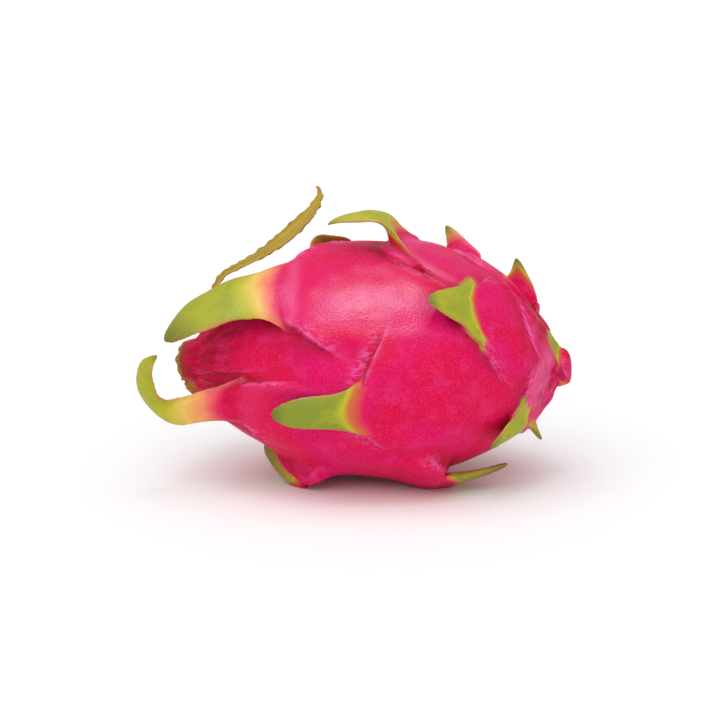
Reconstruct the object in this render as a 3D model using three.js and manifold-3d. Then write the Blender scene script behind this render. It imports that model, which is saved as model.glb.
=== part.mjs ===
// A dragon fruit (pitaya) lying on its side, in millimetres, +Z up.
// The fruit grew as one piece, so it is one closed solid: a fleshy body whose skin runs out into leafy
// bracts. Its long axis lies along X, with the flower end at -X and the stem end at +X. It rests at z = 0
// on three low points, which are the pressed roots of three bracts.
import * as THREE from 'three';
import { mergeVertices } from 'three/addons/utils/BufferGeometryUtils.js';
import Module from 'manifold-3d';

const wasm = await Module();
wasm.setup();

// Driving dimensions.
const fruitLength = 135; // flower end to stem end, without the bracts
const fruitRadius = 41.4; // at the widest place
const bodyCentre = new THREE.Vector3(6.2, -2, 39.3); // middle of the body's axis
const axisLift = 2.5; // the bowed axis stands this far above that middle
const flowerDroop = 2.4; // how far its flower end hangs below its middle
const stemDroop = 2.4;
const goldenAngle = 137.5; // from one bract to the next round the axis, in degrees
const spiralStart = 66.5; // the first bract, from the top towards -Y, in degrees
const tuck = 6; // how far a bract's blade runs on under the skin behind its root line
const tipThickness = 0.4; // of the thickness at the root

// How finely the solid is faceted.
const bodySides = 60;
const bodyRows = 48;
const bractSides = 10;
const bractRowLength = 4; // along a blade, besides a few rows for its ends
const bractEndRows = 4;
const mostBractRows = 14;
const outlineSteps = 1200;

// The body's half outline from the flower end to the stem end: [share of the length, share of the radius].
// It starts at the bottom of the flower cup, turns over its rim, and ends on the short stem.
const outline = [
  [0.062, 0], [0.056, 0.08], [0.030, 0.125], [0.018, 0.155], [0.025, 0.19], [0.045, 0.24],
  [0.089, 0.385], [0.145, 0.525], [0.209, 0.67], [0.311, 0.86], [0.413, 0.945], [0.541, 0.965],
  [0.643, 0.93], [0.745, 0.81], [0.821, 0.67], [0.872, 0.535], [0.898, 0.44], [0.932, 0.29],
  [0.953, 0.175], [0.966, 0.13], [0.980, 0.135], [0.992, 0.105], [0.998, 0.05], [1, 0],
];

// The bracts grow in one spiral from the flower end, each the golden angle on from the last. Their values:
//   at      where its root line lies, as a share of the body's length from the flower end
//   off     degrees round the axis from its place on the spiral
//   root    width of the root, where the skin runs into it
//   width   widths of the free blade, evenly spaced from its root to its tip, as are the next three
//   pitch   degrees by which it points away from the skin
//   head    degrees by which it points to the side of the fruit's length
//   twist   degrees by which it is turned about its own line
//   thick   thickness at the root
//   length  of the free blade
//   cup     curvature across the free blade, per millimetre
//   rise    how high the skin swells at the root
//   swell   how far that swelling reaches towards the stem, or towards the flower end if it is negative
//   under   how far the swelling runs on under the middle of the blade
//   sweep   how far the two ends of the root line and the blade's margins lie back from the middle
//   blunt   how bluntly the blade closes at its tip
// A bract that grew undisturbed has these: it is longer towards the flower end, and broader at the middle.
function spiralBract(order, count) {
  const at = 0.03 + 0.95 * Math.sin((Math.PI / 2) * (order / (count - 1))) ** 1.2;
  const breadth = Math.sin(Math.PI * at) ** 0.4;
  return {
    at,
    off: 0,
    root: 23 * breadth,
    width: [12 * breadth, 10 * breadth, 6 * breadth],
    pitch: [12, 5],
    head: [0],
    twist: [0],
    thick: 3,
    length: 4 + 28 * (1 - at) * breadth,
    cup: 0.03,
    rise: 2.6 * breadth,
    swell: 20,
    under: 4.5,
    sweep: 0,
    blunt: 5,
  };
}

// What each bract has of its own, in the order of the spiral. An empty one grew undisturbed.
const ownValues = [
  { // upper lobe of the flower end's rim
    at: 0.045, off: -9, root: 17, width: [16, 14.5], length: 7.4, cup: 0.11, rise: 1,
    pitch: [26, 14], blunt: 40,
  },
  { // lower lobe of the rim
    at: 0.050, off: -42, root: 13, width: [12, 11], length: 6, cup: 0.1, rise: 0.8,
    pitch: [18, 6], blunt: 20,
  },
  { // long, thin and dried, bent back over the top
    at: 0.1015, off: -20, root: 11, width: [7, 6, 6, 6.5, 7, 7.5, 8.5, 9, 8, 5, 3], length: 71, rise: 0.8,
    pitch: [108, 108, 148, 186, 187, 183, 177, 171, 170, 156, 79], twist: [0, 55, 60], thick: 2.2,
  },
  { // past the flower end, curled up
    at: 0.175, off: -11, root: 18, width: [11, 10, 10, 10.5, 9.5, 8, 6, 2.5], length: 59, rise: 2.2,
    pitch: [38, 35, 14, 2], head: [6, 7, 18, 11, -50, -90, -105, -125, -140],
  },
  {},
  { // the broadest, over the shoulder
    at: 0.300, off: 0, root: 33, width: [24, 20.5, 20, 17.5, 11], length: 48.5, rise: 3,
    pitch: [15, 13, 1, -8], head: [-7, 4, 20, 40],
  },
  { // first low point
    at: 0.300, root: 16, width: [11, 9, 6], length: 14, rise: 7.8, swell: 8,
    pitch: [-2, -32, -36], twist: [0, 35],
  },
  { // bent back over the top
    at: 0.351, off: 22, root: 26, width: [20, 17, 12], length: 15, rise: 1.7,
    pitch: [90, 186, 190, 192],
  },
  { // lies close against the skin
    at: 0.465, off: 13, root: 19, width: [12, 12, 12, 10], length: 30, rise: 2.6,
    pitch: [4, 1], head: [4, 2], blunt: 3.2,
  },
  { // second low point
    at: 0.530, off: -15, root: 20, width: [11, 10, 7], length: 22, rise: 6.2, swell: 7,
    pitch: [-8, 0],
  },
  { // rises from the top of the fruit and arches over
    at: 0.545, off: 7, root: 28, width: [20, 15, 13, 11, 8, 5], length: 31, rise: 2.6, sweep: 11,
    pitch: [80, 73, 27, -10, -14, -36],
  },
  { // third low point, with the blade bent right back under the fruit
    at: 0.681, off: 15, root: 18, width: [7, 7, 5], length: 20, rise: 6, swell: -12, under: -2.5,
    pitch: [168, 176, 184], thick: 3.8, blunt: 10,
  },
  { rise: 2.7, length: 18 },
  { // points away from the skin
    at: 0.728, off: -7, root: 23, width: [18, 12, 4.5], length: 19.5, rise: 3, sweep: 3.5,
    pitch: [16, 12], head: [7, 15],
  },
  { off: 25, rise: 1.8 },
  { // standing fin
    at: 0.711, off: -1, root: 17, width: [10, 6, 2.5], length: 14, rise: 3.6,
    pitch: [66, 48, 30], twist: [70, 60],
  },
  { at: 0.864, off: 21, root: 14, width: [12, 9, 4], pitch: [8], head: [-6, -16], length: 19.5, rise: 2 },
  { rise: 1.4 },
  { // standing fin
    at: 0.852, off: -22, root: 20, width: [11, 6, 2.5], length: 12.5, rise: 1.6,
    pitch: [72, 48, 30], twist: [70, 60],
  },
  { at: 0.892, off: 2, root: 15, width: [8, 4], pitch: [60, 75], length: 8, rise: 1.8 },
  { at: 0.930, length: 9, pitch: [24, 34], rise: 1.2 },
  { // beside the stem
    at: 0.962, off: -58, root: 12, width: [9, 7, 3], length: 12, rise: 2,
    pitch: [14, 20],
  },
  { length: 5, pitch: [30], rise: 0.8 },
  { at: 0.902, root: 11, width: [8, 7], pitch: [70], thick: 5, length: 5, rise: 1.3 },
];

const radians = THREE.MathUtils.degToRad;

// A value from an evenly spaced list, at a share of the way through it.
function spread(list, share) {
  const place = THREE.MathUtils.clamp(share, 0, 1) * (list.length - 1);
  const first = Math.floor(place);
  const next = Math.min(first + 1, list.length - 1);
  return THREE.MathUtils.lerp(list[first], list[next], place - first);
}

// The half outline in millimetres along and off the axis, as one smooth curve.
const halfOutline = new THREE.SplineCurve(
  outline.map(([along, out]) => new THREE.Vector2((along - 0.5) * fruitLength, out * fruitRadius)),
);
const outlineSamples = halfOutline.getPoints(outlineSteps);

// The axis is bowed: it is nearly straight along the middle and droops towards both ends.
function bow(x) {
  const droop = x < 0 ? flowerDroop : stemDroop;
  return axisLift - droop * (2 * x / fruitLength) ** 4;
}

// The smooth skin's place and directions, at a share of the length and an angle round the axis.
function skinFrame(at, around) {
  const x = (at - 0.5) * fruitLength;
  let i = outlineSamples.length - 2;
  while (outlineSamples[i].x > x) i -= 1;
  const slope = new THREE.Vector2().subVectors(outlineSamples[i + 1], outlineSamples[i - 1]).normalize();
  const radius = outlineSamples[i].y;
  const radial = new THREE.Vector3(0, -Math.sin(around), Math.cos(around));
  const normal = new THREE.Vector3(-slope.y, 0, 0).addScaledVector(radial, slope.x);
  const toFlower = new THREE.Vector3(-slope.x, 0, 0).addScaledVector(radial, -slope.y);
  const side = new THREE.Vector3().crossVectors(normal, toFlower);
  const place = new THREE.Vector3(x, 0, bow(x)).addScaledVector(radial, radius);
  return { x, radius, around, place, normal, toFlower, side };
}

const bracts = ownValues.map((own, order) => {
  const bract = { ...spiralBract(order, ownValues.length), ...own };
  const around = radians(spiralStart + goldenAngle * order + bract.off);
  return { ...bract, ...skinFrame(bract.at, around) };
});

// How high the skin stands above the smooth body. Behind each root line it swells to the bract's rise, falls
// away in a short step on the other side of that line, and dies out over the bract's swell.
const stepLength = 1.6; // each way from the root line
const wingSlope = 0.8; // of the root line's two ends, which run back to the stem
const wingBend = 1.6; // how gently they turn to that slope, in half widths of the root
const wingReach = 1.7; // how far to each side the swelling goes, in half widths of the root
const endRadius = 16; // below this radius the relief shrinks with the body
const sharpness = 6; // how sharply two swellings meet
function relief(x, radius, around) {
  let sum = 0;
  for (const b of bracts) {
    const turn = Math.atan2(Math.sin(around - b.around), Math.cos(around - b.around));
    const aside = Math.abs(turn) * radius / (b.root / 2);
    const runBack = wingSlope * (b.root / 2) * aside * aside / (aside + wingBend);
    const forward = b.under * Math.max(0, 1 - (1.2 * aside) ** 4);
    const swept = b.sweep * (aside < 1 ? aside * aside : 2 * aside - 1);
    const back = (x - b.x) * Math.sign(b.swell) - runBack - swept + forward;
    const step = THREE.MathUtils.smoothstep(back, -stepLength, stepLength);
    const fade = Math.exp(-((Math.max(back, 0) / b.swell) ** 2));
    const wing = Math.exp(-((aside / wingReach) ** 4));
    sum += (b.rise * step * fade * wing) ** sharpness;
  }
  return sum ** (1 / sharpness) * Math.min(1, radius / endRadius);
}

// A closed geometry as a solid.
const weldDistance = 1e-4;
function solidOf(geometry) {
  geometry.deleteAttribute('normal');
  geometry.deleteAttribute('uv');
  const merged = mergeVertices(geometry, weldDistance);
  return new wasm.Manifold(new wasm.Mesh({
    numProp: 3,
    vertProperties: merged.attributes.position.array,
    triVerts: new Uint32Array(merged.index.array),
  }));
}

// A solid as a geometry.
function geometryOf(solid) {
  const { vertProperties, triVerts } = solid.getMesh();
  const geometry = new THREE.BufferGeometry();
  geometry.setAttribute('position', new THREE.BufferAttribute(new Float32Array(vertProperties), 3));
  geometry.setIndex(new THREE.BufferAttribute(new Uint32Array(triVerts), 1));
  geometry.computeVertexNormals();
  return geometry;
}

// The body: a unit sphere's rings are laid along the outline, then lifted by the relief and bowed.
function bodySolid() {
  const geometry = new THREE.SphereGeometry(1, bodySides, bodyRows);
  const { position } = geometry.attributes;
  const p = new THREE.Vector3();
  for (let i = 0; i < position.count; i += 1) {
    p.fromBufferAttribute(position, i);
    const share = Math.acos(THREE.MathUtils.clamp(p.y, -1, 1)) / Math.PI;
    const around = Math.atan2(-p.x, p.z);
    const { x: along, y: out } = halfOutline.getPointAt(share);
    const slope = halfOutline.getTangentAt(share);
    const lift = relief(along, out, around);
    const radius = Math.max(0, out + slope.x * lift);
    const x = along - slope.y * lift;
    position.setXYZ(i, x, -radius * Math.sin(around), radius * Math.cos(around) + bow(x));
  }
  return solidOf(geometry);
}

// A bract's middle line: it starts under the skin behind the root line, and turns by its pitch and head.
const lineSteps = 60;
function bractLine(b) {
  const tucked = Math.min(tuck, b.length / 2);
  const whole = tucked + b.length;
  const freeShare = (share) => Math.max(0, (share * whole - tucked) / b.length);
  const direction = (share) => {
    const pitch = radians(spread(b.pitch, freeShare(share)));
    const head = radians(spread(b.head, freeShare(share)));
    return new THREE.Vector3()
      .addScaledVector(b.toFlower, Math.cos(pitch) * Math.cos(head))
      .addScaledVector(b.side, Math.cos(pitch) * Math.sin(head))
      .addScaledVector(b.normal, Math.sin(pitch));
  };
  const place = b.place.clone()
    .addScaledVector(b.normal, b.rise - b.thick / 2)
    .addScaledVector(direction(0), -tucked);
  const line = [];
  for (let i = 0; i <= lineSteps; i += 1) {
    const share = i / lineSteps;
    line.push({ place: place.clone(), along: direction(share), free: freeShare(share) });
    place.addScaledVector(direction((i + 0.5) / lineSteps), whole / lineSteps);
  }
  return line;
}

// A bract: a unit sphere's rings are carried along its middle line, and each is drawn out into a flat curved
// section, which is wide at the root and closes round at the tip.
const flareReach = 2.5; // how soon the root narrows to the blade, besides a share of the blade's length
const flareShare = 0.12;
const flareCurve = 1.4;
const cupFrom = 3; // the blade has its own cup from a third of its length on
function bractSolid(b) {
  const rows = Math.min(mostBractRows, bractEndRows + Math.round(b.length / bractRowLength));
  const line = bractLine(b);
  const flareLength = b.length * flareShare + flareReach;
  const geometry = new THREE.SphereGeometry(1, bractSides, rows);
  const { position } = geometry.attributes;
  const p = new THREE.Vector3();
  for (let i = 0; i < position.count; i += 1) {
    p.fromBufferAttribute(position, i);
    const share = (1 - p.y) / 2;
    const { place, along, free } = line[Math.round(share * lineSteps)];
    const ring = Math.hypot(p.x, p.z) || 1;
    const closing = Math.sqrt(Math.max(0, 1 - Math.max(0, 2 * share - 1) ** b.blunt));
    const flare = Math.exp(-((free * b.length / flareLength) ** flareCurve));
    const halfWidth = closing * (spread(b.width, free) + (b.root - b.width[0]) * flare) / 2;
    const halfThick = closing * b.thick * THREE.MathUtils.lerp(1, tipThickness, free) / 2;
    const head = radians(spread(b.head, free));
    const wide = new THREE.Vector3()
      .addScaledVector(b.toFlower, -Math.sin(head))
      .addScaledVector(b.side, Math.cos(head))
      .applyAxisAngle(along, radians(spread(b.twist, free)));
    const face = new THREE.Vector3().crossVectors(along, wide);
    const aside = halfWidth * p.x / ring;
    const curve = THREE.MathUtils.lerp(1 / b.radius, b.cup, Math.min(1, free * cupFrom));
    const lift = halfThick * p.z / ring - curve * aside * aside / 2;
    const swept = b.sweep * (2 * aside / b.root) ** 2;
    p.copy(place)
      .addScaledVector(wide, aside)
      .addScaledVector(face, lift)
      .addScaledVector(b.toFlower, -swept);
    position.setXYZ(i, p.x, p.y, p.z);
  }
  return solidOf(geometry);
}

// The fruit: body and bracts in one solid, set down on the surface and pressed flat where it rests.
function fruitMesh() {
  const grown = bracts.reduce((solid, b) => solid.add(bractSolid(b)), bodySolid());
  const underSurface = new THREE.BoxGeometry(3 * fruitLength, 3 * fruitLength, fruitRadius);
  underSurface.translate(0, 0, -fruitRadius / 2);
  const lying = grown.translate([bodyCentre.x, bodyCentre.y, bodyCentre.z]).subtract(solidOf(underSurface));
  const skin = new THREE.MeshStandardMaterial({ color: 0xdb1f5c, roughness: 0.45, metalness: 0 });
  const mesh = new THREE.Mesh(geometryOf(lying), skin);
  mesh.name = 'fruit';
  return mesh;
}

const part = new THREE.Group();
part.add(fruitMesh());
export default part;
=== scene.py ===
import math
import bpy
import numpy as np
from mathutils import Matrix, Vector


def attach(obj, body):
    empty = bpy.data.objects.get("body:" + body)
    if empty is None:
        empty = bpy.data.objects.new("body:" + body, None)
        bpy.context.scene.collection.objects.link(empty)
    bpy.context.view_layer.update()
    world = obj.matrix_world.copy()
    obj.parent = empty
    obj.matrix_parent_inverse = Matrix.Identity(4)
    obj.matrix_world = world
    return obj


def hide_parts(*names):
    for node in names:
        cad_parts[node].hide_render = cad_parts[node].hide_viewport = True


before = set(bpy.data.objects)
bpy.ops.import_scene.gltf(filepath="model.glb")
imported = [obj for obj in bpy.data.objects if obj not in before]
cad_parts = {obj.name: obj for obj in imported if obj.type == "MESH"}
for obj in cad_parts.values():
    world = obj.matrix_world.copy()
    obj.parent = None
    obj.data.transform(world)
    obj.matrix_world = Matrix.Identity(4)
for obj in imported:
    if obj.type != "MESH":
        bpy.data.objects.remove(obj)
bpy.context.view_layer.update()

mm = 0.001
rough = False  # a coarser skin while trying things

fruit = {
    "length": 135.0,  # flower end to stem end, without the bracts
    "radius": 41.4,
    "centre": (6.2, -2.0, 39.3),
    "lift": 2.5,  # the axis bows up this far in the middle
    "flowerDroop": 2.4,  # and drops this far again at each end
    "stemDroop": 2.4,
    "goldenAngle": 137.5,
    "spiralStart": 66.5,
    "tuck": 6.0,  # a blade runs on this far under the skin
    "rows": 420,
    "sides": 640,
    "outlineSteps": 6000,
    # share of the length, share of the radius, from the bottom of the flower cup over its rim to the stem
    "outline": [
        (0.062, 0), (0.056, 0.08), (0.030, 0.125), (0.018, 0.155), (0.025, 0.19), (0.045, 0.24),
        (0.089, 0.385), (0.145, 0.525), (0.209, 0.67), (0.311, 0.86), (0.413, 0.945), (0.541, 0.965),
        (0.643, 0.93), (0.745, 0.81), (0.821, 0.67), (0.872, 0.535), (0.898, 0.44), (0.932, 0.29),
        (0.953, 0.175), (0.966, 0.13), (0.980, 0.135), (0.992, 0.105), (0.998, 0.05), (1.0, 0),
    ],
}

# A plain bract. Lists are evenly spaced values from its root to its tip, lengths are in mm, turns in degrees.
plainBract = {
    "off": 0,  # turn round the fruit from its place on the spiral
    "root": 22,  # width of the root line
    "width": [11, 10, 7],  # of the free blade
    "thick": 3.0,  # at the root
    "length": 24,  # of the free blade
    "pitch": [12, 5],  # turn away from the skin
    "head": [0],  # turn to one side
    "twist": [0],  # turn about its own line
    "cup": 0.03,  # curvature over its width, per mm
    "fold": 0.0,  # how sharply it folds along its middle
    "wave": 0.25,  # height of the waves along its margins
    "blunt": 5,  # how bluntly its tip closes
    "sweep": 0,  # how far its corners and margins lie back from its middle
    "rise": 1.2,  # height of the swelling of the skin at the root line
    "swell": 30,  # reach of that swelling to the stem, or to the flower end where it is negative
    "flick": 1.5,  # height of the curl at the root line, on top of the swelling
    "edge": 0.9,  # half width of the step down at the root line
    "lip": 1.2,  # how far the top of that step leans over
    "under": 4.5,  # how far the swelling runs on under the blade
    "up": (0.8, 8),  # the ridge from its upper corner: how much it leans back to the stem, and its reach
    "down": (0.8, 8),  # the same from its lower corner
    "green": (0, 7),  # where along the blade the green starts, and where it is full
    "most": 0.95,  # how green it gets
    "corner": 3.0,  # how much nearer the root the green starts at the margins
    "bright": 0.3,  # 0 turns green through red and rust, 1 through salmon and yellow
    "inside": 0.35,  # how red and dark its inner face is: its own redder colour, with painted shade on the face towards the skin
    "tipLength": 6.0,  # of its dark tip
    "dry": 0.0,  # how dried it is
    "rim": 0,  # how brown its end is, and how dark the painted shade in the cup inside it
    "halo": 0,  # strength of the pale and the rich band on the skin along its colours
    "paleSheen": 0,  # painted sheen: how much paler the skin behind its root is painted
    "hollowShade": 5.0,  # reach of the painted shade in the hollow under it
    "crease": 1.2,  # how far behind the root line its crinkled ridge lies
}
# Each bract in the order of the spiral, with only what differs from a plain one.
bractValues = [
    {"at": 0.045, "off": -9, "root": 17, "width": [16, 14.5], "pitch": [26, 14], "length": 7.4, "cup": 0.11,
     "rise": 0.6, "swell": 45, "flick": 0.8, "down": (5, 4), "green": (20, 30), "blunt": 40, "rim": 1},
    {"at": 0.050, "off": -42, "root": 13, "width": [12, 11], "pitch": [18, 6], "length": 6, "cup": 0.1,
     "rise": 0.6, "flick": 0.6, "green": (20, 30), "blunt": 20, "rim": 1, "dry": 0.9},
    {"at": 0.1015, "off": -20, "root": 11, "width": [7, 6, 6, 6.5, 7, 7.5, 8.5, 9, 8, 5, 3], "length": 71,
     "thick": 2.2, "pitch": [108, 108, 148, 186, 187, 183, 177, 171, 170, 156, 79],
     "twist": [0, 55, 60], "rise": 0.8, "flick": 0, "dry": 1, "fold": 0.25, "green": (2, 12), "wave": 0.1},
    {"at": 0.175, "off": -11, "root": 18, "width": [11, 10, 10, 10.5, 9.5, 8, 6, 2.5], "length": 59,
     "pitch": [38, 35, 14, 2], "head": [6, 7, 18, 11, -50, -90, -105, -125, -140], "flick": 1.2,
     "up": (4, 3), "paleSheen": 0.2, "green": (6, 39), "most": 0.8, "bright": 1, "hollowShade": 10},
    {"at": 0.206, "length": 26, "pitch": [16, 4], "head": [6, 14]},
    {"at": 0.300, "root": 33, "width": [24, 20.5, 20, 17.5, 11], "length": 48.5, "pitch": [15, 13, 1, -8],
     "head": [-7, 4, 20, 40], "rise": 2.0, "swell": 34, "flick": 1.0, "up": (1.0, 20), "down": (1.3, 10),
     "green": (4, 25), "most": 0.85, "crease": 0.5, "halo": 1, "bright": 1, "hollowShade": 11, "tipLength": 16},
    {"at": 0.300, "root": 16, "width": [11, 9, 6], "length": 15, "pitch": [-2, -35, -40], "twist": [0, 35],
     "rise": 7.8, "swell": 8, "flick": 0, "edge": 5, "green": (-2, 3), "bright": 0, "dry": 0.2,
     "tipLength": 18},
    {"at": 0.351, "off": 22, "root": 26, "width": [20, 17, 12], "pitch": [90, 186, 190, 192], "length": 15,
     "rise": 1.4, "flick": 0.3, "green": (2, 6), "tipLength": 2, "paleSheen": 0.8},
    {"at": 0.465, "off": 13, "root": 19, "width": [12, 12, 12, 10], "length": 30, "pitch": [4, 1],
     "head": [4, 2], "up": (0.45, 18), "down": (1.2, 7), "rise": 1.8, "flick": 1.0, "green": (-0.5, 9),
     "corner": 4, "most": 1, "crease": -2.5, "bright": 0, "hollowShade": 1.5, "blunt": 3.2},
    {"at": 0.530, "off": -15, "root": 20, "width": [11, 10, 7], "length": 22, "pitch": [-8, 0], "rise": 6.2,
     "swell": 7, "flick": 0, "edge": 5},
    {"at": 0.545, "off": 7, "root": 28, "width": [20, 15, 13, 11, 8, 5], "length": 31, "sweep": 11,
     "pitch": [80, 73, 27, -10, -14, -36], "up": (0, 8), "down": (0, 3), "rise": 1.6, "flick": 1.0,
     "crease": -3, "inside": 1, "green": (4, 12), "most": 0.85, "lip": 0.2, "paleSheen": 1.1},
    {"at": 0.681, "off": 15, "root": 18, "width": [7, 7, 5], "length": 20, "pitch": [168, 176, 184],
     "rise": 6, "swell": -12, "flick": 0, "edge": 2.5, "under": -2.5, "green": (0, 4), "thick": 3.8,
     "blunt": 10, "tipLength": 14},
    {"at": 0.682, "length": 18},
    {"at": 0.728, "off": -7, "root": 23, "width": [18, 12, 4.5], "length": 19.5, "pitch": [16, 12],
     "head": [7, 15], "sweep": 3.5, "up": (0, 7), "down": (0.1, 9), "rise": 1.6, "flick": 1.4,
     "green": (-0.5, 2.2), "most": 0.9, "corner": 2.5, "bright": 0},
    {"at": 0.775, "off": 25, "root": 20, "width": [11, 9, 5], "length": 10},
    {"at": 0.711, "off": -1, "root": 17, "width": [10, 6, 2.5], "length": 14, "pitch": [66, 48, 30],
     "twist": [70, 60], "rise": 3.2, "flick": 0.4, "swell": 26, "green": (6, 14), "corner": 1, "bright": 0.6,
     "paleSheen": 1.3},
    {"at": 0.864, "off": 21, "root": 14, "width": [12, 9, 4], "length": 19.5, "pitch": [8], "head": [-6, -16],
     "up": (0.3, 10), "down": (0.5, 5), "green": (-0.5, 1.5), "most": 0.9, "bright": 0, "paleSheen": 1.6},
    {"at": 0.886, "root": 18, "width": [9, 6], "length": 8, "rise": 0.8},
    {"at": 0.852, "off": -22, "root": 20, "width": [11, 6, 2.5], "length": 12.5, "pitch": [72, 48, 30],
     "twist": [70, 60], "flick": 0.4, "down": (0.45, 24), "green": (5, 12), "corner": 5, "bright": 0},
    {"at": 0.892, "off": 2, "root": 15, "width": [8, 4], "length": 8, "pitch": [60, 75], "flick": 0.6,
     "up": (0.5, 14)},
    {"at": 0.930, "root": 15, "width": [8, 6], "length": 9, "pitch": [24, 34], "rise": 0.8, "flick": 0.2},
    {"at": 0.962, "off": -58, "root": 12, "width": [9, 7, 3], "length": 12, "pitch": [14, 20], "rise": 1.6,
     "flick": 0.4, "green": (-1, 3), "bright": 0},
    {"at": 0.977, "root": 10, "width": [7, 5], "length": 5, "pitch": [30], "rise": 0.6, "flick": 0.2},
    {"at": 0.902, "root": 11, "width": [8, 7], "length": 5, "pitch": [70], "thick": 5, "rise": 1,
     "flick": 0.3, "green": (20, 30), "tipLength": 0.5},
]


def smoothStep(low, high, value):  # 0 at low, 1 at high, and level at both: 3 t squared - 2 t cubed between
    share = np.clip((value - low) / (high - low), 0, 1)
    return share * share * (3 - 2 * share)


def bell(distance, width):  # 1 at no distance, falling off as e to the minus (distance / width) squared
    return np.exp(-((distance / width) ** 2))


def spread(values, share):  # straight lines between evenly spaced values
    return np.interp(share, np.linspace(0, 1, len(values)), values)


def bow(x):  # nearly straight along the middle, drooping towards both ends by a fourth power
    droop = np.where(x < 0, fruit["flowerDroop"], fruit["stemDroop"])
    return fruit["lift"] - droop * (2 * x / fruit["length"]) ** 4


def outlineCurve(count):
    # A cubic through the outline's points, each stretch leaving a point along its neighbours' chord.
    points = (np.array(fruit["outline"]) - (0.5, 0)) * (fruit["length"], fruit["radius"])
    place = np.linspace(0, len(points) - 1, count)
    first = np.minimum(place.astype(int), len(points) - 2)
    t = (place - first)[:, None]
    a, b, c, d = (points[np.clip(first + k, 0, len(points) - 1)] for k in (-1, 0, 1, 2))
    u, v = (c - a) / 2, (d - b) / 2
    return ((2 * b - 2 * c + u + v) * t + (3 * c - 3 * b - 2 * u - v)) * t * t + u * t + b


outline = outlineCurve(fruit["outlineSteps"])
outlineSlope = np.gradient(outline, axis=0)
outlineSlope /= np.linalg.norm(outlineSlope, axis=1)[:, None]


def skinFrame(at, around):
    # The smooth skin's place there, and its three directions: out, to the flower end, and round to the side.
    x = (at - 0.5) * fruit["length"]
    i = np.flatnonzero(outline[:, 0] <= x)[-1]
    slope, radius = outlineSlope[i], outline[i, 1]
    radial = np.array((0, -math.sin(around), math.cos(around)))
    along = np.array((1, 0, 0))
    normal = -slope[1] * along + slope[0] * radial
    toFlower = -slope[0] * along - slope[1] * radial
    return {
        "x": x, "radius": radius, "around": around, "normal": normal, "toFlower": toFlower,
        "side": np.cross(normal, toFlower), "place": x * along + radius * radial + (0, 0, bow(x)),
    }


bracts = []
for order, own in enumerate(bractValues):
    bract = {**plainBract, **own}
    turn = fruit["spiralStart"] + fruit["goldenAngle"] * order + bract["off"]
    bracts.append({**bract, **skinFrame(bract["at"], math.radians(turn))})
    bracts[-1]["height"] = bract["rise"] + bract["flick"]

relief = {
    "soft": 3.0,  # how gently a root line turns into its ridges
    "flickLength": 7.0,
    "sharpness": 8,
    "endRadius": 16.0,  # below this radius the relief shrinks with the body
    "lipLength": 2.0,
    "lipFrom": (0.3, 0.5),  # shares of the root's width from its middle, between which the lip begins
    "underWidth": 2.1,  # how narrow the swelling is under a blade, and how square its end
    "underSquare": 6,
}


def fromRootLine(b, x, radius, around):
    # aside is the way round the skin from the bract's middle. past is how far that lies beyond the root's
    # corner, and beyond is past smoothed so that it never drops below 0. back is how far a point lies behind
    # the root line and the ridges that lean back from its corners.
    turn = np.arctan2(np.sin(around - b["around"]), np.cos(around - b["around"]))
    aside = turn * radius
    past = np.abs(aside) - b["root"] / 2
    beyond = (past + np.sqrt(past ** 2 + relief["soft"] ** 2)) / 2
    lean, reach = (np.where(aside < 0, b["up"][k], b["down"][k]) for k in (0, 1))
    inner = relief["underWidth"] * aside / b["root"]
    under = b["under"] * np.maximum(0, 1 - inner ** relief["underSquare"])
    back = (x - b["x"]) * math.copysign(1, b["swell"]) - lean * beyond + under
    swept = 2 * np.abs(aside) / b["root"]
    back = back - b["sweep"] * np.where(swept < 1, swept ** 2, 2 * swept - 1)
    return aside, beyond / reach, back


def skinRelief(x, radius, around):
    # Height is the power mean of every bract's plate: a step up at its root line, a curl near it that dies
    # away evenly, and a bell of swelling behind. Lip is how far the top of the step leans over to the flower.
    total, lip = np.zeros_like(x), np.zeros_like(x)
    for b in bracts:
        aside, wing, back = fromRootLine(b, x, radius, around)
        behind = np.maximum(back, 0)
        fade = np.exp(-(wing ** 4)) * smoothStep(-b["edge"], b["edge"], back)
        broad = b["rise"] * bell(behind, b["swell"])
        curl = b["flick"] * np.exp(-behind / relief["flickLength"])
        total += ((broad + curl) * fade) ** relief["sharpness"]
        ridge = smoothStep(*relief["lipFrom"], np.abs(aside) / b["root"])
        lip = np.maximum(lip, ridge * b["lip"] * fade * bell(behind, relief["lipLength"]))
    small = np.minimum(1, radius / relief["endRadius"])
    return total ** (1 / relief["sharpness"]) * small, lip * small


def closedTube(rings):
    # Rings of points along a shape, closed at both ends by the middle point of the first and last ring.
    rows, sides = rings.shape[:2]
    points = np.concatenate([rings.reshape(-1, 3), rings[0].mean(0)[None], rings[-1].mean(0)[None]])
    i, j = np.meshgrid(np.arange(rows - 1), np.arange(sides), indexing="ij")
    after = (j + 1) % sides
    quads = np.stack([i * sides + j, i * sides + after, (i + 1) * sides + after, (i + 1) * sides + j], -1)
    quads = quads.reshape(-1, 4)
    j = np.arange(sides)
    after = (j + 1) % sides
    start = np.stack([after, j, np.full(sides, rows * sides)], -1)
    end = np.stack([(rows - 1) * sides + j, (rows - 1) * sides + after, np.full(sides, rows * sides + 1)], -1)
    return points, [quads, start, end]


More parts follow.
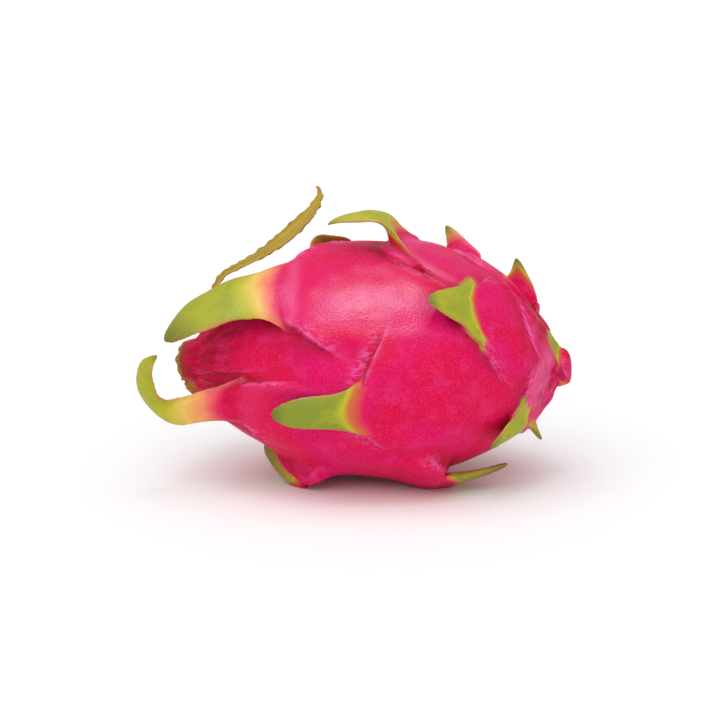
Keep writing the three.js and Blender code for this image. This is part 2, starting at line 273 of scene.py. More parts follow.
def bodyRings():
    # The outline turned round the bowed axis, moved out by the relief and over by the lip.
    steps = np.linalg.norm(np.diff(outline, axis=0), axis=1)
    travelled = np.concatenate([[0], np.cumsum(steps)]) / steps.sum()
    rows = fruit["rows"] // (2 if rough else 1)
    sides = fruit["sides"] // (2 if rough else 1)
    share = np.linspace(0, 1, rows + 1)[1:-1]
    along, out = (np.interp(share, travelled, outline[:, k])[:, None] for k in (0, 1))
    slopeX, slopeY = (np.interp(share, travelled, outlineSlope[:, k])[:, None] for k in (0, 1))
    around = np.linspace(0, 2 * np.pi, sides, endpoint=False)[None, :]
    along, out, around = np.broadcast_arrays(along, out, around)
    height, lip = skinRelief(along, out, around)
    x = along - slopeY * height - slopeX * lip
    radius = np.maximum(0, out + slopeX * height - slopeY * lip)
    return np.stack([x, -radius * np.sin(around), radius * np.cos(around) + bow(x)], -1)


blade = {
    "lineSteps": 400,
    "rows": (30, 2),  # rings of points on every blade, and more for each mm of its length
    "sides": 48,
    "flareShare": 0.12,  # the flare at the root reaches this share of the length
    "flareReach": 2.5,  # and this many mm more
    "flareCurve": 1.4,
    "thinning": 0.6,  # share of the thickness lost by the tip
    "cupFrom": 3,  # it is fully cupped from one third of its length on
    "waveLength": 2.3,
    "waveTurn": 5,  # so that no two blades wave alike
}


def bractLine(b, share):
    # A blade's middle line, from under the skin to its tip: the running sum of a direction, which its pitch
    # and head turn as it goes. Its width lies square to that line, turned about it by the twist.
    tucked = min(fruit["tuck"], b["length"] / 2)
    whole = tucked + b["length"]

    def direction(s):
        free = np.maximum(0, (s * whole - tucked) / b["length"])
        pitch, head = np.radians(spread(b["pitch"], free)), np.radians(spread(b["head"], free))
        flat = np.cos(pitch) * np.cos(head), np.cos(pitch) * np.sin(head), np.sin(pitch)
        return sum(k[:, None] * b[name] for k, name in zip(flat, ("toFlower", "side", "normal")))

    fine = np.linspace(0, 1, blade["lineSteps"] + 1)
    middle = (fine[1:] + fine[:-1]) / 2
    start = b["place"] + b["normal"] * (b["height"] - b["thick"] / 2) - direction(np.zeros(1))[0] * tucked
    steps = direction(middle) * whole / blade["lineSteps"]
    way = np.concatenate([np.zeros((1, 3)), np.cumsum(steps, axis=0)]) + start
    place = np.stack([np.interp(share, fine, way[:, k]) for k in range(3)], -1)
    along = direction(share)
    free = (share * whole - tucked) / b["length"]
    head = np.radians(spread(b["head"], free))[:, None]
    wide = -np.sin(head) * b["toFlower"] + np.cos(head) * b["side"]
    twist = np.radians(spread(b["twist"], free))[:, None]
    wide = wide * np.cos(twist) + np.cross(along, wide) * np.sin(twist)
    return place, along, wide, np.cross(along, wide), free


def bractSize(b, share, free):
    # Half width and half thickness: wide at the root by a flare that dies away as e to a power, and closing
    # at the tip as the root of 1 less a power. Curve is the skin's roundness at the root, then the cup's.
    free = np.maximum(free, 0)
    closing = np.sqrt(np.maximum(0, 1 - np.maximum(0, 2 * share - 1) ** b["blunt"]))
    flareLength = blade["flareShare"] * b["length"] + blade["flareReach"]
    flare = np.exp(-((free * b["length"] / flareLength) ** blade["flareCurve"]))
    halfWidth = closing * (spread(b["width"], free) + (b["root"] - b["width"][0]) * flare) / 2
    halfThick = closing * b["thick"] * (1 - blade["thinning"] * free) / 2
    curve = (1 / b["radius"]) + (b["cup"] - 1 / b["radius"]) * np.minimum(1, blade["cupFrom"] * free)
    return halfWidth, halfThick, curve


def sweptBack(b, aside):  # the margins lie further back than the middle, by a square
    return (2 * aside / b["root"]) ** 2


def bractRings(b):
    # An ellipse carried along the middle line, bent over its width by a square, folded along its middle, and
    # waved by a sine that grows to its two margins as a cube.
    least, more = blade["rows"]
    rows = int(least + more * b["length"]) // (2 if rough else 1)
    share = (1 - np.cos(np.linspace(0, np.pi, rows + 1)[1:-1])) / 2
    place, _, wide, face, free = bractLine(b, share)
    halfWidth, halfThick, curve = (k[:, None] for k in bractSize(b, share, free))
    a = np.linspace(0, 2 * np.pi, blade["sides"], endpoint=False)[None, :]
    aside = halfWidth * np.cos(a)
    margin = np.cos(a) ** 3
    along = free[:, None] * b["length"] / blade["waveLength"]
    wave = b["wave"] * margin * np.sin(along + b["around"] * blade["waveTurn"] + np.sign(margin))
    lift = halfThick * np.sin(a) - curve * aside ** 2 / 2 + b["fold"] * np.abs(aside) + wave
    sweep = b["sweep"] * sweptBack(b, aside)
    points = place[:, None] + aside[..., None] * wide[:, None] + lift[..., None] * face[:, None]
    return points - sweep[..., None] * b["toFlower"]


def meshFrom(name, parts):  # one mesh of several closed shapes, each numbered on from the last
    points, faces, count = [], [], 0
    for partPoints, partFaces in parts:
        points.append(partPoints)
        faces += [k + count for k in partFaces]
        count += len(partPoints)
    points = np.concatenate(points)
    mesh = bpy.data.meshes.new(name)
    mesh.vertices.add(len(points))
    mesh.vertices.foreach_set("co", points.ravel())
    corners = np.concatenate([k.ravel() for k in faces])
    sizes = np.concatenate([np.full(len(k), k.shape[1]) for k in faces])
    mesh.loops.add(len(corners))
    mesh.loops.foreach_set("vertex_index", corners)
    mesh.polygons.add(len(sizes))
    mesh.polygons.foreach_set("loop_start", np.concatenate([[0], np.cumsum(sizes)[:-1]]))
    mesh.update(calc_edges=True)
    mesh.validate()
    return mesh


print("growing the fruit")
parts = [closedTube(bodyRings())] + [closedTube(bractRings(b)) for b in bracts]
parts = [((p + fruit["centre"]) * mm, f) for p, f in parts]
piece = bpy.data.objects.new("fruitSkin", meshFrom("fruitSkin", parts))
bpy.context.collection.objects.link(piece)

oneSkin = {
    "voxel": 0.0007 if rough else 0.0004,
    "smoothing": 0.5,
    "smoothings": 3,
    "kept": 0.9 if rough else 0.25,  # share of the faces
}

print("joining it into one skin")
join = piece.modifiers.new("join", "REMESH")
join.mode = "VOXEL"
join.voxel_size = oneSkin["voxel"]
even = piece.modifiers.new("even", "SMOOTH")
even.factor, even.iterations = oneSkin["smoothing"], oneSkin["smoothings"]
thin = piece.modifiers.new("thin", "DECIMATE")
thin.ratio = oneSkin["kept"]
depsgraph = bpy.context.evaluated_depsgraph_get()
joined = bpy.data.meshes.new_from_object(piece.evaluated_get(depsgraph))
piece.modifiers.clear()
piece.data = joined
joined.shade_smooth()


def ripple(points, wavelength, seed, waves=14):
    # A smooth random field, mostly between -1 and 1: plane waves of one length in random directions, added up
    # and divided by the root of their number.
    random = np.random.default_rng(seed)
    ways = random.normal(size=(waves, 3))
    ways *= 2 * np.pi / wavelength / np.linalg.norm(ways, axis=1)[:, None]
    phases = random.uniform(0, 2 * np.pi, waves)
    return sum(np.sin(points @ way + phase) for way, phase in zip(ways, phases)) / math.sqrt(waves)


def readVectors(layer, field, count):  # one row for each point
    values = np.empty(count * 3, np.float32)
    layer.foreach_get(field, values)
    return values.reshape(-1, 3).astype(float)


def bodyPlace(points):  # place along the fruit, distance from its bowed axis, and turn round that
    x = points[:, 0]
    up = points[:, 2] - bow(np.clip(x, -fruit["length"] / 2, fruit["length"] / 2))
    return x, np.hypot(points[:, 1], up), np.arctan2(-points[:, 1], up)


def nearestPlace(points, places, batch=20000):  # the place at the least squared distance from each point
    batches = (points[k:k + batch, None] - places for k in range(0, max(1, len(points)), batch))
    return np.concatenate([(gaps ** 2).sum(2).argmin(1) for gaps in batches])


marking = {
    "steps": 160,  # along a blade's middle line
    "reach": 10,  # mm round that line, if its root is no wider
    "thinnest": (0.8, 0.5),  # mm that a blade's half width and half thickness count as at least
    "near": 2.5,  # how many half widths or thicknesses out a point may lie to be looked at
    "before": -4,  # and from how many mm along the blade
    "surface": (1.4, 1.15),  # from clear of a blade to on it, as its own surface is at 1
    "free": (0, 5),  # mm over which a blade comes free of the skin
    "margins": (0.72, 1),  # shares of the half width
    "innerFace": (0.2, -0.6),  # mm from the middle face
    "dryStart": (0.06, 2),  # share of the length, and mm before that
    "dryOver": (0, 8),  # mm
    "tipOver": 1,  # mm past the end
    "brownRim": (2.0, 0.8),  # mm before the end
    # painted shade inside the flower cup: mm before a rim's end over which it darkens, and its strength
    "cupShadeFrom": (8, 1),
    "cupShadeStrength": 0.8,
    "leafy": 0.4,  # strength from which the fibres run along the blade
    "grainSize": (14, 3, 3.7),  # mm along a blade, its width, and a step from bract to bract
    "skinGrain": (3, 4, 9),  # the same along, round and out of the skin
    "skinStrokes": (2.5, 30, 3),
    "strong": 2.5,  # mm of height at the root from which its marks are at full strength
    "onSkin": (6, 2),  # mm from the smooth skin
    "haloAside": (0.50, 0.30),  # shares of the root's width from its middle
    "haloAhead": (3, 2.2),  # mm before the colours start, and its width
    "richAside": (0.42, 0.25),
    "richAhead": (9, 2.6),
    # painted sheen on the plate behind a root: where it starts and where it ends
    "paleSheenFrom": (0, 2.5),  # mm behind the root line
    "paleSheenTo": (13, 5),
    "corners": (0.25, 0.55),
    "ridgeWidth": 2.6,
    "faint": 0.02,  # a ridge below this strokes no creases
    "strokeSize": (0.45, 5.3),  # how finely creases lie behind each other, and a step from bract to bract
    "crest": (0.2, 0.5),  # mm behind the root line, and its width
    # mm behind the root line from which the painted shade in the hollow under a blade begins
    "hollowShadeFrom": (0.4, -0.6),
}


def onBlade(b, points):
    # For the points on a blade: how far along it they lie in mm, how far over its width from -1 to 1, how far
    # off its middle face in mm, and how far out they are: 1 on its own surface, more outside that.
    share = np.linspace(0, 1, marking["steps"])
    place, along, wide, face, free = bractLine(b, share)
    halfWidth, halfThick, curve = bractSize(b, share, free)
    reach = max(b["root"], marking["reach"])
    near = np.flatnonzero(((points > place.min(0) - reach) & (points < place.max(0) + reach)).all(1))
    some = points[near]
    nearest = nearestPlace(some, place)
    if b["sweep"]:  # a swept margin is first moved forward again
        aside = ((some - place[nearest]) * wide[nearest]).sum(1)
        some = some + b["sweep"] * np.minimum(1, sweptBack(b, aside))[:, None] * b["toFlower"]
        nearest = nearestPlace(some, place)
    gap = some - place[nearest]
    aside = (gap * wide[nearest]).sum(1)
    off = (gap * face[nearest]).sum(1) + curve[nearest] * aside ** 2 / 2 - b["fold"] * np.abs(aside)
    distance = free[nearest] * b["length"] + (gap * along[nearest]).sum(1)
    thinnest = marking["thinnest"]
    over = aside / np.maximum(halfWidth[nearest], thinnest[0])
    outside = np.hypot(over, off / np.maximum(halfThick[nearest], thinnest[1]))
    on = (outside < marking["near"]) & (distance > marking["before"])
    return near[on], distance[on], over[on], off[on], outside[on]


print("marking where it is green, dried, ridged and hollow")
count = len(joined.vertices)
points = readVectors(joined.vertices, "co", count) / mm - fruit["centre"]
x, radius, around = bodyPlace(points)
names = ("leaf", "green", "tip", "edge", "dry", "ridge", "hollowShade", "halo", "inner", "blade", "bright",
         "crest", "rich")
marks = {name: np.zeros(count) for name in names}
closest = np.full(count, marking["near"])
along, turns, out = marking["skinGrain"]
grain = np.stack([x / along, around * turns, radius / out], -1)  # fibres run along the fruit and each blade
along, turns, size = marking["skinStrokes"]
strokes = np.stack([x / along, around * turns, radius], -1) / size  # creases run across each ridge
skinRadius = np.interp(x, outline[:, 0], outline[:, 1])


def atLeast(name, strength):  # the strongest mark wins
    marks[name] = np.maximum(marks[name], strength)


def markBlade(order, b):
    # Each mark on a blade is a smooth step in its length, its width or its thickness. A point that lies on
    # two blades takes the marks of the one whose surface it is nearer.
    near, distance, over, off, outside = onBlade(b, points)
    nearer = outside < closest[near]
    chosen, distance, over, off, outside = (k[nearer] for k in (near, distance, over, off, outside))
    closest[chosen] = outside
    length = b["length"]
    low, high = b["green"]
    sure = smoothStep(*marking["surface"], outside)
    free = smoothStep(*marking["free"], distance)
    greened = distance + b["corner"] * np.minimum(over ** 2, 1)
    marks["green"][chosen] = np.clip((greened - low) / (high - low), 0, b["most"])
    marks["leaf"][chosen] = sure
    marks["bright"][chosen] = b["bright"]
    marks["tip"][chosen] = sure * smoothStep(length - b["tipLength"], length + marking["tipOver"], distance)
    marks["edge"][chosen] = sure * free * smoothStep(*marking["margins"], np.abs(over))
    # redder inner face, darkened as painted shade on the side towards the skin
    marks["inner"][chosen] = b["inside"] * sure * free * smoothStep(*marking["innerFace"], off)
    first, last = marking["brownRim"]
    rim = b["rim"] * sure * smoothStep(length - first, length - last, distance)
    share, before = marking["dryStart"]
    dried = smoothStep(*marking["dryOver"], distance - share * length + before)
    marks["dry"][chosen] = np.maximum(b["dry"] * sure * dried, rim)
    # painted shade: the cup inside a rim is painted dark
    first, last = marking["cupShadeFrom"]
    cup = smoothStep(length - first, length - last, distance)
    marks["hollowShade"][chosen] = b["rim"] * sure * marking["cupShadeStrength"] * cup
    marks["blade"][chosen] = sure * free
    leafy = free * sure > marking["leafy"]
    longways, sideways, apart = marking["grainSize"]
    fibres = np.stack([distance / longways, over * sideways, np.full(len(over), order * apart)], -1)
    grain[chosen[leafy]] = fibres[leafy]


def markSkin(order, b):
    # Each mark on the skin round a root is a smooth step or a bell in the way round from its middle, and in
    # the way before or behind its root line.
    low = b["green"][0]
    aside, wing, back = fromRootLine(b, x, skinRadius, around)
    sideways = np.abs(aside) / b["root"]
    strong = min(1, b["height"] / marking["strong"]) * np.exp(-(wing ** 4))
    onSkin = smoothStep(*marking["onSkin"], np.abs(radius - skinRadius))
    ahead = (b["x"] - x) * math.copysign(1, b["swell"])
    for name, aheadKey, asideKey in (("halo", "haloAhead", "haloAside"), ("rich", "richAhead", "richAside")):
        before, width = marking[aheadKey]
        band = smoothStep(*marking[asideKey], sideways) * onSkin * bell(ahead - low + before, width)
        atLeast(name, b["halo"] * band)
    # painted sheen: the plate behind the root is painted paler, in the halo mark and colour
    paleSheen = strong * onSkin * smoothStep(*marking["paleSheenFrom"], back) * smoothStep(*marking["paleSheenTo"], back)
    atLeast("halo", b["paleSheen"] * paleSheen)
    corner = smoothStep(*marking["corners"], sideways)
    ridge = corner * strong * onSkin * bell(back - b["crease"], marking["ridgeWidth"])
    stronger = ridge > np.maximum(marks["ridge"], marking["faint"])
    across, apart = marking["strokeSize"]
    strokes[stronger] = np.stack([aside, back * across, np.full(count, order * apart)], -1)[stronger]
    atLeast("ridge", ridge)
    behind, width = marking["crest"]
    atLeast("crest", corner * strong * onSkin * bell(back - behind, width))
    # painted shade in the hollow in front of the root line and under the blade
    atLeast("hollowShade", strong * onSkin * smoothStep(*marking["hollowShadeFrom"], back) * bell(back, b["hollowShade"]))


for order, b in enumerate(bracts):
    markBlade(order, b)
    markSkin(order, b)

wrinkles = {
    "stemward": (0.80, 0.93),  # shares of the length between which the folds at the stem begin
    "stemRadius": (3, 9),
    "flowerward": (-40, -57),  # mm along the fruit between which the pleats at the flower end begin
    "folds": 0.6,  # heights in mm
    "pleats": 0.36,
    # share of that height, crests round the fruit, how far and how often they wander, and drift along it
    "stemFolds": ((1, 9, 1.4, 2, 0.05), (0.6, 17, 2, 3, 0)),
    "cupPleats": ((1, 22, 2, 5, 0.1), (0.7, 37, 0, 0, 0.2)),
    "slow": (0.28, 26, 11),  # height and wavelength in mm, and the seed of its random waves
    "small": (0.10, 9, 12),
    "ridge": (0.28, 4.5, 13),
    "ridgeStretch": (1, 1.4, 1.4),
    "stem": (0.25, 6, 14),
    "dry": (0.25, 3.5, 15),
    "cupRim": (-62, -63.5),  # mm along the fruit, and then from its axis, between which it is brown
    "cupRimRadius": (6.8, 6),
    "stemScar": (62, 66),
    "stemScarRadius": (4.0, 3.0),
    "endRadius": (14, 11),
}


def pleats(layers):
    # A sum of sines round the fruit. Their crests wander to and fro by a slower sine, and drift along it.
    return sum(height * np.sin(crests * around + wander * np.sin(turns * around) + drift * x)
               for height, crests, wander, turns, drift in layers)


skinPart = 1 - marks["blade"]
stemward = smoothStep(*wrinkles["stemward"], x / fruit["length"] + 0.5)
flowerward = smoothStep(*wrinkles["flowerward"], x)
stemFolds = pleats(wrinkles["stemFolds"])
cupPleats = pleats(wrinkles["cupPleats"])
ridged, *ridgeWaves = wrinkles["ridge"]
dried, *dryWaves = wrinkles["dry"]
rippled = (wrinkles[name] for name in ("slow", "small", "stem"))
slow, small, stem = (height * ripple(points, *waves) for height, *waves in rippled)
swell = slow + small
swell += marks["ridge"] * ridged * np.abs(ripple(points * wrinkles["ridgeStretch"], *ridgeWaves))
swell += stemward * (wrinkles["folds"] * stemFolds + stem) * smoothStep(*wrinkles["stemRadius"], radius)
swell += flowerward * wrinkles["pleats"] * cupPleats
normals = readVectors(joined.vertex_normals, "vector", count)
points += normals * (swell * skinPart + marks["dry"] * dried * ripple(points, *dryWaves))[:, None]
points = (points + fruit["centre"]) * mm
points[:, 2] = np.maximum(points[:, 2], 0)  # pressed flat where it lies
joined.vertices.foreach_set("co", points.ravel())
rim = smoothStep(*wrinkles["cupRim"], x) * smoothStep(*wrinkles["cupRimRadius"], radius)
scar = smoothStep(*wrinkles["stemScarRadius"], radius) * smoothStep(*wrinkles["stemScar"], x)
atLeast("dry", np.clip(rim + scar, 0, 1) * smoothStep(*wrinkles["endRadius"], radius))


def keep(name, columns):  # three marks to a vector that the material reads
    layer = joined.attributes.new(name, "FLOAT_VECTOR", "POINT")
    layer.data.foreach_set("vector", np.stack(columns, -1).astype(np.float32).ravel())


keep("growth", (marks["leaf"], marks["green"], marks["tip"]))
keep("skinMarks", (marks["ridge"], marks["hollowShade"], marks["halo"]))
keep("bladeMarks", (marks["edge"], marks["inner"], marks["blade"]))
keep("dryEndsBright", (marks["dry"], np.clip(stemward + flowerward, 0, 1), marks["bright"]))
keep("folds", (marks["crest"], marks["rich"], np.zeros(count)))
keep("grain", grain.T)
keep("strokes", strokes.T)
joined.update()
print(count, "points", sum(len(p.vertices) - 2 for p in joined.polygons), "triangles")

print("colouring the skin")
colours = {
    "skin": (0.72, 0.001, 0.112, 1),
    "skinDeep": (0.71, 0.001, 0.056, 1),
    "skinPale": (0.76, 0.055, 0.27, 1),
    "skinDark": (0.52, 0.001, 0.050, 1),
    # the pale band along a root's colours, and painted sheen on the plates behind roots
    "halo": (0.82, 0.13, 0.30, 1),
    "rich": (0.72, 0.0, 0.09, 1),
    # painted shade, in the hollows under the bracts, inside the flower cup and in the furrows at both ends
    "hollowShade": (0.40, 0.003, 0.022, 1),
    "crease": (0.80, 0.16, 0.46, 1),
    "red": (0.68, 0.075, 0.07, 1),
    "rust": (0.60, 0.17, 0.04, 1),
    "rose": (0.72, 0.030, 0.11, 1),
    "salmon": (0.85, 0.15, 0.13, 1),
    "yellow": (0.80, 0.53, 0.12, 1),
    "olive": (0.53, 0.47, 0.035, 1),
    "lime": (0.40, 0.41, 0.026, 1),
    "green": (0.24, 0.30, 0.036, 1),
    "tip": (0.10, 0.085, 0.025, 1),
    "margin": (0.56, 0.16, 0.08, 1),
    # redder inner face of a blade, darkened as painted shade
    "inner": (0.50, 0.02, 0.03, 1),
    "tan": (0.60, 0.37, 0.012, 1),
    "brown": (0.20, 0.095, 0.02, 1),
    "speck": (0.30, 0.10, 0.06, 1),
}


# How each colour and bump is spread. Four numbers are a smooth step: from the first to the second value of
# what it reads, the share goes from the third to the fourth, or from 0 to 1 where there are only two.
finish = {
    "patches": (55, 3, 0.5),  # texture sizes per metre, then detail and roughness
    "blotches": (170, 4, 0.6),
    "specks": (1900, 2, 0.6),
    "uneven": (130, 3, 0.6),
    "blades": (1.6, 4, 0.6, 0.4),
    "driedFibres": (1.1, 5, 0.65),
    "creaseNoise": (0.75, 3, 0.6, 0.8),
    "fineGrain": (2400, 2, 0.6),
    "pores": 1300,
    "spots": 62,
    "patchStretch": (0.7, 1, 1),
    "fibreStretch": (0.35, 7, 1),
    "deepPatches": (0.40, 0.62),
    "paleBlotches": (0.48, 0.70, 0, 0.26),
    "paleSpecks": (0.50, 0.70, 0, 0.42),
    "darkSpecks": (0.50, 0.34, 0, 0.42),
    "richBlotches": (0.3, 0.6, 0.5, 1),
    "creaseLines": (0.44, 0.62),
    "creaseShare": 0.65,
    "crestBlotches": (0.35, 0.6, 0.2, 0.7),
    # painted shade along the furrows at both ends
    "furrowShadeLines": (0.52, 0.38, 0, 0.7),
    "hollowShadeBlotches": (0.3, 0.7, 0.95, 0.6),
    "haloBlotches": (0.3, 0.7, 0.6, 0.35),
    "unevenShare": 0.30,
    "unevenFrom": (0, 0.2),
    "mottleGrown": (0.5, 0.8),
    "mottleLines": (0.45, 0.70, 0, 0.22),
    "innerGrown": (0.75, 0.35),
    "leafGrown": (0.0, 0.08),
    "tipLines": (0.3, 0.65, 0.45, 0.9),
    "marginBlotches": (0.42, 0.62, 0.2, 0.7),
    "brownFibres": (0.42, 0.60),
    "dryLines": (0.3, 0.6, 0.55, 0.9),
    "spotSize": (0.055, 0.035),
    "spotPatches": (0.52, 0.6),
    "spotShare": 0.6,
    "roughness": (0.3, 0.7, 0.37, 0.45),
    "dullness": 0.25,  # more roughness where it is dried or ridged
    "gloss": 0.09,
    "poreBump": (0.14, 0.0004),  # strength, and height in metres
    "grainBump": (0.22, 0.0003),
    "ribBump": (0.25, 0.0006),
    "wrinkleBump": (0.3, 0.001),
    "endWrinkles": 0.5,
}
ripening = {  # the colours from a bract's root to its green end
    "deep": ((0.0, "skin"), (0.25, "red"), (0.52, "rust"), (0.76, "olive"), (0.88, "lime"), (1.0, "green")),
    "bright": ((0.0, "skin"), (0.09, "rose"), (0.20, "salmon"), (0.42, "yellow"), (0.62, "olive"),
               (0.80, "lime"), (1.0, "green")),
}


class NodeTree:
    # Short names for wiring one material's nodes.
    def __init__(self, name):
        self.material = bpy.data.materials.new(name)
        self.material.use_nodes = True
        self.nodes = self.material.node_tree.nodes
        self.links = self.material.node_tree.links
        self.shader = self.nodes["Principled BSDF"]

    def put(self, socket, value):
        if isinstance(value, bpy.types.NodeSocket):
            self.links.new(value, socket)
        else:
            socket.default_value = value

    def parts(self, name):
        node = self.nodes.new("ShaderNodeAttribute")
        node.attribute_name = name
        split = self.nodes.new("ShaderNodeSeparateXYZ")
        self.links.new(node.outputs["Vector"], split.inputs[0])
        return split.outputs

    def vector(self, name):
        node = self.nodes.new("ShaderNodeAttribute")
        node.attribute_name = name
        return node.outputs["Vector"]

    def place(self):
        return self.nodes.new("ShaderNodeTexCoord").outputs["Object"]

    def stretched(self, vector, scale):
        node = self.nodes.new("ShaderNodeMapping")
        self.put(node.inputs["Vector"], vector)
        node.inputs["Scale"].default_value = scale
        return node.outputs[0]

    def noise(self, vector, scale, detail=3.0, rough=0.55, warp=0.0):
        node = self.nodes.new("ShaderNodeTexNoise")
        self.put(node.inputs["Vector"], vector)
        node.inputs["Scale"].default_value = scale
        node.inputs["Detail"].default_value = detail
        node.inputs["Roughness"].default_value = rough
        node.inputs["Distortion"].default_value = warp
        return node.outputs["Fac"]

    def cells(self, vector, scale):
        node = self.nodes.new("ShaderNodeTexVoronoi")
        self.put(node.inputs["Vector"], vector)
        node.inputs["Scale"].default_value = scale
        return node.outputs["Distance"]

    def between(self, value, low, high, first=0.0, last=1.0):
        node = self.nodes.new("ShaderNodeMapRange")
        node.interpolation_type = "SMOOTHSTEP"
        self.put(node.inputs["Value"], value)
        for socket, number in zip(("From Min", "From Max", "To Min", "To Max"), (low, high, first, last)):
            self.put(node.inputs[socket], number)
        return node.outputs["Result"]

    def math(self, operation, first, second=0.0, clamp=False):
        node = self.nodes.new("ShaderNodeMath")
        node.operation = operation
        node.use_clamp = clamp
        self.put(node.inputs[0], first)
        self.put(node.inputs[1], second)
        return node.outputs[0]

    def times(self, first, second):
        return self.math("MULTIPLY", first, second)

    def blend(self, share, first, second):
        node = self.nodes.new("ShaderNodeMix")
        node.data_type = "RGBA"
        self.put(node.inputs["Factor"], share)
        self.put(node.inputs[6], first)
        self.put(node.inputs[7], second)
        return node.outputs[2]

    def ramp(self, value, stops):  # stops are pairs of a place and the name of its colour
        node = self.nodes.new("ShaderNodeValToRGB")
        self.put(node.inputs["Fac"], value)
        while len(node.color_ramp.elements) < len(stops):
            node.color_ramp.elements.new(0.5)
        for element, (position, name) in zip(node.color_ramp.elements, stops):
            element.position = position
            element.color = colours[name]
        return node.outputs["Color"]

    def bump(self, height, strength, distance, below=None):
        node = self.nodes.new("ShaderNodeBump")
        node.inputs["Strength"].default_value = strength
        node.inputs["Distance"].default_value = distance
        self.put(node.inputs["Height"], height)
        if below is not None:
            self.put(node.inputs["Normal"], below)
        return node.outputs["Normal"]


def skinMaterial():
    # Pink skin with pale and dark specks, creases, and painted shade in hollows and furrows. Over it come the
    # bracts' colours, each mixed in by its mark times a noise, and last the dried places and a few spots. The
    # pale plates behind roots are painted sheen, and the blades' inner faces carry painted shade.
    t = NodeTree("skin")
    leaf, green, tip = t.parts("growth")
    ridge, hollowShade, halo = t.parts("skinMarks")
    edge, inner, blade = t.parts("bladeMarks")
    dry, ends, bright = t.parts("dryEndsBright")
    crest, rich, _ = t.parts("folds")
    place = t.place()
    fibre = t.stretched(t.vector("grain"), finish["fibreStretch"])
    patches = t.noise(t.stretched(place, finish["patchStretch"]), *finish["patches"])
    blotches = t.noise(place, *finish["blotches"])
    specks = t.noise(place, *finish["specks"])
    lines = t.noise(fibre, *finish["blades"])
    creaseLines = t.noise(t.vector("strokes"), *finish["creaseNoise"])

    def step(value, name):
        return t.between(value, *finish[name])

    def paint(below, share, name):
        return t.blend(share, below, colours[name])

    skin = t.blend(step(patches, "deepPatches"), colours["skin"], colours["skinDeep"])
    skin = paint(skin, step(blotches, "paleBlotches"), "skinPale")
    skin = paint(skin, step(specks, "paleSpecks"), "skinPale")
    skin = paint(skin, step(specks, "darkSpecks"), "skinDark")
    skin = paint(skin, t.times(rich, step(blotches, "richBlotches")), "rich")
    creased = t.times(ridge, step(creaseLines, "creaseLines"))
    skin = paint(skin, t.times(creased, finish["creaseShare"]), "crease")
    skin = paint(skin, t.times(crest, step(blotches, "crestBlotches")), "crease")
    # painted shade in the furrows of the pleats and folds at both ends
    skin = paint(skin, t.times(ends, step(creaseLines, "furrowShadeLines")), "hollowShade")
    # painted shade in the hollows under the bracts and inside the flower cup
    skin = paint(skin, t.times(hollowShade, step(blotches, "hollowShadeBlotches")), "hollowShade")
    # the pale band along a root's colours, and painted sheen on the plates behind roots
    skin = paint(skin, t.times(halo, step(blotches, "haloBlotches")), "halo")

    uneven = t.times(t.math("SUBTRACT", t.noise(place, *finish["uneven"]), 0.5), finish["unevenShare"])
    grown = t.math("ADD", green, t.times(uneven, step(green, "unevenFrom")), clamp=True)
    ripe = t.blend(bright, t.ramp(grown, ripening["deep"]), t.ramp(grown, ripening["bright"]))
    ripe = paint(ripe, t.times(step(grown, "mottleGrown"), step(lines, "mottleLines")), "olive")
    # redder inner face of a blade, darkened as painted shade
    ripe = paint(ripe, t.times(inner, step(grown, "innerGrown")), "inner")
    colour = t.blend(t.times(leaf, step(grown, "leafGrown")), skin, ripe)
    colour = paint(colour, t.times(tip, step(lines, "tipLines")), "tip")
    colour = paint(colour, t.times(edge, step(blotches, "marginBlotches")), "margin")
    brown = step(t.noise(fibre, *finish["driedFibres"]), "brownFibres")
    dried = t.blend(brown, colours["tan"], colours["brown"])
    colour = t.blend(t.times(dry, step(lines, "dryLines")), colour, dried)
    spotty = t.times(step(t.cells(place, finish["spots"]), "spotSize"), step(patches, "spotPatches"))
    colour = paint(colour, t.times(spotty, finish["spotShare"]), "speck")
    t.put(t.shader.inputs["Base Color"], colour)

    dull = t.math("ADD", t.times(dry, finish["dullness"]), t.times(ridge, finish["dullness"]))
    t.put(t.shader.inputs["Roughness"], t.math("ADD", step(blotches, "roughness"), dull))
    t.shader.inputs["Specular IOR Level"].default_value = finish["gloss"]
    peel = t.bump(t.cells(place, finish["pores"]), *finish["poreBump"])
    peel = t.bump(t.noise(place, *finish["fineGrain"]), *finish["grainBump"], peel)
    peel = t.bump(t.times(lines, blade), *finish["ribBump"], peel)
    wrinkled = t.math("ADD", ridge, t.times(ends, finish["endWrinkles"]))
    peel = t.bump(t.times(creaseLines, wrinkled), *finish["wrinkleBump"], peel)
    t.put(t.shader.inputs["Normal"], peel)
    return t.material


joined.materials.clear()
joined.materials.append(skinMaterial())
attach(piece, "root")
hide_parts("fruit")

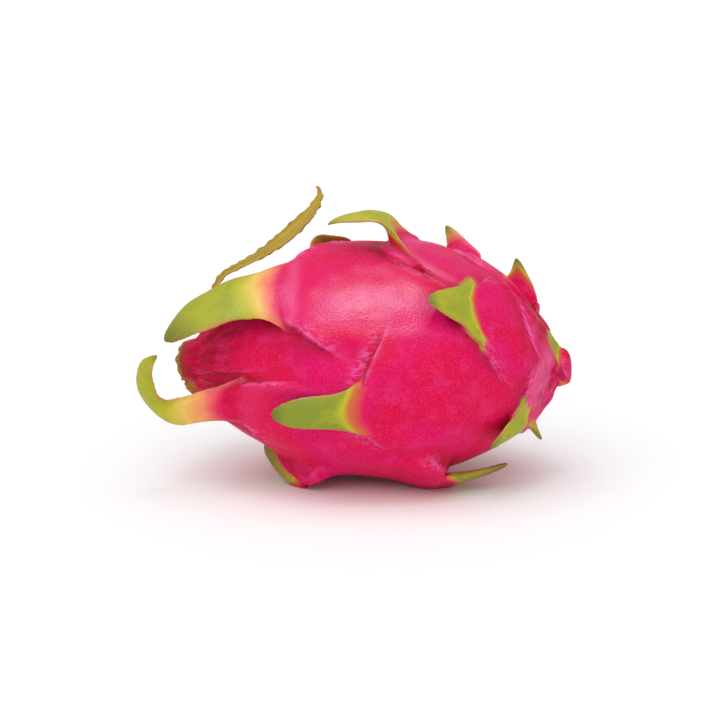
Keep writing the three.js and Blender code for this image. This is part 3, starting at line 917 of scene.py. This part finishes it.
studio = {
    "floor": 14,  # metres
    "paper": (0.9, 0.9, 0.9, 1),
    "paperRoughness": 0.9,
    "sky": 0.62,
    "softbox": ((-0.20, -0.38, 0.95), 1.6, 80),  # where it shines from, its strength and its width in degrees
    "fill": ((0.5, -0.85, 0.3), 0.25, 60),
    "gloss": ((0, -0.26, 0.96), 13.0, 10, (0.68, 0.88, 1)),
}
view = {"elevation": 14, "distance": 690, "aim": (0.7, -2.0, 42.1), "lens": 100, "sensor": 36}

print("setting the stage")
bpy.ops.mesh.primitive_plane_add(size=studio["floor"], location=(0, 0, 0))
floor = bpy.context.object
floor.name = "floor"
paper = bpy.data.materials.new("paper")
paper.use_nodes = True
paper.node_tree.nodes["Principled BSDF"].inputs["Base Color"].default_value = studio["paper"]
paper.node_tree.nodes["Principled BSDF"].inputs["Roughness"].default_value = studio["paperRoughness"]
floor.data.materials.append(paper)

camera = bpy.data.cameras.new("camera")
camera.lens = view["lens"]
camera.sensor_width = view["sensor"]
cameraObject = bpy.data.objects.new("camera", camera)
bpy.context.collection.objects.link(cameraObject)
tip = math.radians(view["elevation"])
aim = np.array(view["aim"])
cameraObject.location = (aim + view["distance"] * np.array((0, -math.cos(tip), math.sin(tip)))) * mm
cameraObject.rotation_euler = (math.pi / 2 - tip, 0, 0)
bpy.context.scene.camera = cameraObject


def sunLight(name, towards, strength, angle, colour=(1, 1, 1)):
    light = bpy.data.lights.new(name, "SUN")
    light.energy = strength
    light.angle = math.radians(angle)
    light.color = colour
    lamp = bpy.data.objects.new(name, light)
    lamp.rotation_euler = Vector(towards).to_track_quat("Z", "Y").to_euler()
    bpy.context.collection.objects.link(lamp)
    return lamp


sunLight("softbox", *studio["softbox"]).visible_glossy = False
sunLight("fill", *studio["fill"])
sunLight("gloss", *studio["gloss"]).visible_diffuse = False  # only the highlight on the upper skin
world = bpy.data.worlds.new("studio")
world.use_nodes = True
world.node_tree.nodes["Background"].inputs["Color"].default_value = (1, 1, 1, 1)
world.node_tree.nodes["Background"].inputs["Strength"].default_value = studio["sky"]
bpy.context.scene.world = world
bpy.context.scene.view_settings.view_transform = "Standard"
